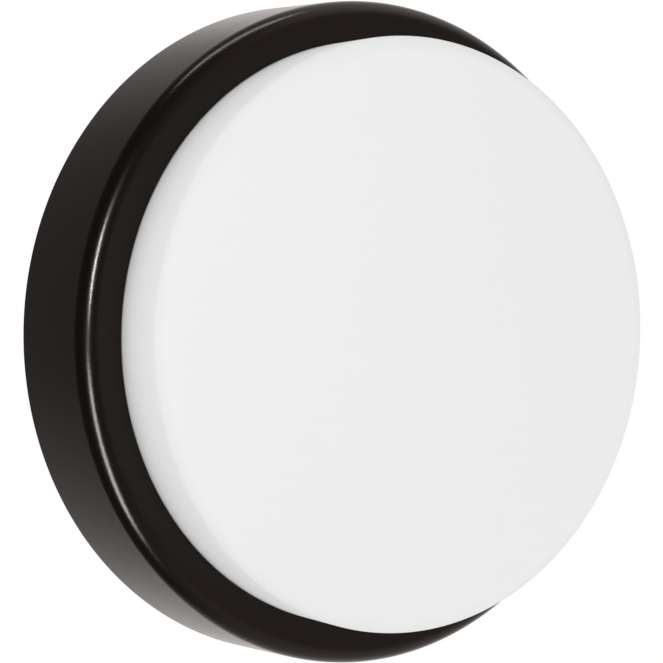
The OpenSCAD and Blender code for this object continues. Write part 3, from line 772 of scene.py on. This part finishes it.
def build_chips():
    """The packages: a white frame with a sunk yellow window, one small block for each place on the
    two rings, all worked out at once by turning one block round the board."""
    half_l, half_w = CHIP_L / 2, CHIP_W / 2
    window_l, window_w = half_l - CHIP_RIM, half_w - CHIP_RIM
    levels = [(half_l, half_w, 0), (half_l, half_w, CHIP_T), (window_l, window_w, CHIP_T),
              (window_l, window_w, CHIP_T - CHIP_SUNK)]
    signs = np.array([(1, 1), (-1, 1), (-1, -1), (1, -1)])
    block = np.concatenate(
        [np.column_stack([signs * (a, b), np.full(4, h)]) for a, b, h in levels])
    out, along, height = block.T
    sides = grid_faces(len(levels), 4, close_columns=True)
    underside = np.arange(4)[None, ::-1]
    window = np.arange(len(block) - 4, len(block))[None]
    points, frames, windows, before = [], [], [], 0
    for radius, count in CHIP_RINGS:
        a = (math.pi / count + np.arange(count) * 2 * math.pi / count)[:, None]
        x = (radius + out) * np.cos(a) - along * np.sin(a)
        z = (radius + out) * np.sin(a) + along * np.cos(a)
        points.append(upright(x, z, BOARD_FRONT + height).reshape(-1, 3))
        start = before + np.arange(count)[:, None, None] * len(block)
        frames += [(sides + start).reshape(-1, 4), (underside + start).reshape(-1, 4)]
        windows.append((window + start).reshape(-1, 4))
        before += count * len(block)
    faces = np.concatenate([*frames, *windows])
    piece = mesh_piece("light_packages", (np.concatenate(points), [faces]), nylon, "base",
                       ["led_chips"], 30)
    piece.data.materials.append(phosphor)
    first_window = sum(len(f) for f in frames)
    index = (np.arange(len(faces)) >= first_window).astype(np.int32)
    piece.data.polygons.foreach_set("material_index", index)


# CAD nodes that keep their shape: a welded, softly bevelled skin and a finish

def smooth_by_angle():
    """Node group that shades faces smooth and keeps the edges sharp where they turn by more than
    the sharp angle."""
    tree = bpy.data.node_groups.new("smooth_by_angle", "GeometryNodeTree")
    for in_out in ("INPUT", "OUTPUT"):
        tree.interface.new_socket("Geometry", in_out=in_out, socket_type="NodeSocketGeometry")
    given = node(tree, "NodeGroupInput").outputs[0]
    faces = node(tree, "GeometryNodeSetShadeSmooth", {"Geometry": given, "Shade Smooth": True},
                 domain="FACE").outputs[0]
    angle = node(tree, "GeometryNodeInputMeshEdgeAngle").outputs["Unsigned Angle"]
    sharp = node(tree, "FunctionNodeCompare", {0: angle, 1: math.radians(SHARP_ANGLE)},
                 operation="GREATER_THAN").outputs[0]
    edges = node(tree, "GeometryNodeSetShadeSmooth",
                 {"Geometry": faces, "Selection": sharp, "Shade Smooth": False}, domain="EDGE")
    node(tree, "NodeGroupOutput", {0: edges.outputs[0]})
    return tree


shade_group = smooth_by_angle()


def soften(piece, width_mm):
    """Welds a piece's loose triangles, joins the level ones into whole faces, bevels its edges by a
    real width and shades it smooth, with normals weighted by area so that flats stay flat beside
    their bevels."""
    weld = piece.modifiers.new("weld", "WELD")
    weld.merge_threshold = 0.002 * MM
    level = piece.modifiers.new("level", "DECIMATE")
    level.decimate_type = "DISSOLVE"
    level.angle_limit = math.radians(LEVEL_ANGLE)
    bevel = piece.modifiers.new("edge", "BEVEL")
    bevel.width = width_mm * MM
    bevel.segments = 2
    bevel.limit_method = "ANGLE"
    bevel.angle_limit = math.radians(BEVEL_ANGLE)
    bevel.use_clamp_overlap = True
    bevel.loop_slide = False
    shade = piece.modifiers.new("shade", "NODES")
    shade.node_group = shade_group
    normals = piece.modifiers.new("normals", "WEIGHTED_NORMAL")
    normals.weight = 100
    normals.keep_sharp = True


def finish_nodes():
    """Gives each kept CAD node its material and its softened edges."""
    for name, (material, width) in FINISHES.items():
        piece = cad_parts[name]
        for material_slot in piece.material_slots:
            material_slot.material = material
        soften(piece, width)


build_ring()
build_diffuser()
for clip_index in range(CLIP_COUNT):
    build_clip(clip_index)
build_leads()
build_chips()
finish_nodes()


# Stage: a pale floor under the light, which turns plain white further out

def floor_material():
    """Pale matt floor that keeps the light's shadow near it. Further out it fades to plain white.
    From below it can't be seen, and it neither shows in gloss nor stops a lamp."""
    material = bpy.data.materials.new("pale_floor")
    material.use_nodes = True
    tree = material.node_tree
    tree.nodes.remove(tree.nodes["Principled BSDF"])
    matt = node(tree, "ShaderNodeBsdfDiffuse", {"Color": linear("#F7F7F7")}).outputs[0]
    white = node(tree, "ShaderNodeEmission", {"Strength": 1.0}).outputs[0]
    clear = node(tree, "ShaderNodeBsdfTransparent").outputs[0]
    place = node(tree, "ShaderNodeTexCoord").outputs["Object"]
    reach = node(tree, "ShaderNodeVectorMath", {0: place}, operation="LENGTH").outputs["Value"]
    fade = {"Value": reach, "From Min": FLOOR_FADE[0], "From Max": FLOOR_FADE[1]}
    share = node(tree, "ShaderNodeMapRange", fade, interpolation_type="SMOOTHSTEP").outputs[0]
    top = node(tree, "ShaderNodeMixShader", {0: share, 1: matt, 2: white}).outputs[0]
    under = node(tree, "ShaderNodeNewGeometry").outputs["Backfacing"]
    above = node(tree, "ShaderNodeMath", {0: 1.0, 1: under}, operation="SUBTRACT").outputs[0]
    camera_ray = node(tree, "ShaderNodeLightPath").outputs["Is Camera Ray"]
    seen = node(tree, "ShaderNodeMath", {0: above, 1: camera_ray}, operation="MULTIPLY").outputs[0]
    both = node(tree, "ShaderNodeMixShader", {0: seen, 1: clear, 2: top}).outputs[0]
    tree.links.new(both, tree.nodes["Material Output"].inputs["Surface"])
    return material


def build_floor():
    """A wide square floor well below the light."""
    corners = [(x * FLOOR_HALF, y * FLOOR_HALF, FLOOR_HEIGHT)
               for x, y in ((-1, -1), (1, -1), (1, 1), (-1, 1))]
    mesh = bpy.data.meshes.new("floor")
    mesh.from_pydata(corners, [], [(0, 1, 2, 3)])
    mesh.materials.append(floor_material())
    floor = bpy.data.objects.new("floor", mesh)
    bpy.context.scene.collection.objects.link(floor)


def build_world():
    """Studio round the light. What the camera sees is white. Matt surfaces get an even level. In
    gloss, the pale sweep behind the light (+Y) fades to the dark left side of the room, and the
    front of the room is dim, with three paler patches on its right: below, above and beside. The
    level in gloss is the greater of the sweep and the room with the brightest patch added."""
    world = bpy.data.worlds.new("studio")
    bpy.context.scene.world = world
    world.use_nodes = True
    tree = world.node_tree
    tree.nodes.clear()
    ray = node(tree, "ShaderNodeTexCoord").outputs["Generated"]
    value = {}
    for name, axis in STUDIO_AXES.items():
        value[name] = node(tree, "ShaderNodeVectorMath", {0: ray, 1: axis},
                           operation="DOT_PRODUCT").outputs["Value"]
    for name, (axis, start, end, from_level, to_level) in STUDIO_FADES.items():
        fade = {"Value": value[axis], "From Min": start, "From Max": end, "To Min": from_level,
                "To Max": to_level}
        value[name] = node(tree, "ShaderNodeMapRange", fade,
                           interpolation_type="SMOOTHSTEP").outputs[0]
    for name, first, operation, second in STUDIO_SUMS:
        terms = {0: value[first], 1: value.get(second, second)}
        value[name] = node(tree, "ShaderNodeMath", terms, operation=operation).outputs[0]

    backgrounds = [
        node(tree, "ShaderNodeBackground", {"Color": linear(colour), "Strength": strength})
        for colour, strength in (("#FFFFFF", MATT_LEVEL), ("#FFF9F6", value["gloss"]),
                                 ("#FFFFFF", 1.0))]
    matt, shine, white = (background.outputs[0] for background in backgrounds)
    path = node(tree, "ShaderNodeLightPath").outputs
    seen = node(tree, "ShaderNodeMath", {0: path["Is Camera Ray"], 1: path["Is Transmission Ray"]},
                operation="MAXIMUM").outputs[0]
    lit = node(tree, "ShaderNodeMixShader", {0: path["Is Glossy Ray"], 1: matt, 2: shine})
    both = node(tree, "ShaderNodeMixShader", {0: seen, 1: lit.outputs[0], 2: white})
    node(tree, "ShaderNodeOutputWorld", {"Surface": both.outputs[0]})


def towards(azimuth, elevation):
    """Unit vector from the light to where a camera or lamp stands:
    (sin a cos e, -cos a cos e, sin e)."""
    a, e = math.radians(azimuth), math.radians(elevation)
    return Vector((math.sin(a) * math.cos(e), -math.cos(a) * math.cos(e), math.sin(e)))


def soft_box(name, in_gloss, azimuth, elevation, distance, width, height, watts, turn):
    """A rectangular lamp that faces the light, turned by some degrees about its direction. It
    shows either in gloss, where it is a little cool, or only as light on matt surfaces."""
    lamp = bpy.data.lights.new(name, "AREA")
    lamp.shape = "RECTANGLE"
    lamp.size, lamp.size_y = width, height
    lamp.energy = watts
    if in_gloss:
        lamp.color = linear("#EAF4FF")[:3]
    holder = bpy.data.objects.new(name, lamp)
    back = towards(azimuth, elevation)
    roll = Quaternion((0, 0, 1), math.radians(turn))
    holder.location = back * distance
    holder.rotation_euler = (back.to_track_quat("Z", "Y") @ roll).to_euler()
    holder.visible_diffuse = not in_gloss
    holder.visible_glossy = in_gloss
    holder.visible_camera = False
    bpy.context.scene.collection.objects.link(holder)


def build_camera():
    """The camera at the photograph's angle."""
    back = towards(CAMERA_AZIMUTH, CAMERA_ELEVATION)
    data = bpy.data.cameras.new("camera")
    data.sensor_width = CAMERA_SENSOR
    data.lens = CAMERA_LENS
    camera = bpy.data.objects.new("camera", data)
    camera.location = CAMERA_TARGET + back * CAMERA_DISTANCE
    camera.rotation_euler = back.to_track_quat("Z", "Y").to_euler()
    bpy.context.scene.collection.objects.link(camera)
    bpy.context.scene.camera = camera


build_floor()
build_world()
for lamp_name, settings in GLOSS_LAMPS.items():
    soft_box(lamp_name, True, *settings)
for lamp_name, settings in MATT_LAMPS.items():
    soft_box(lamp_name, False, *settings)
build_camera()
bpy.context.scene.view_settings.view_transform = "Standard"
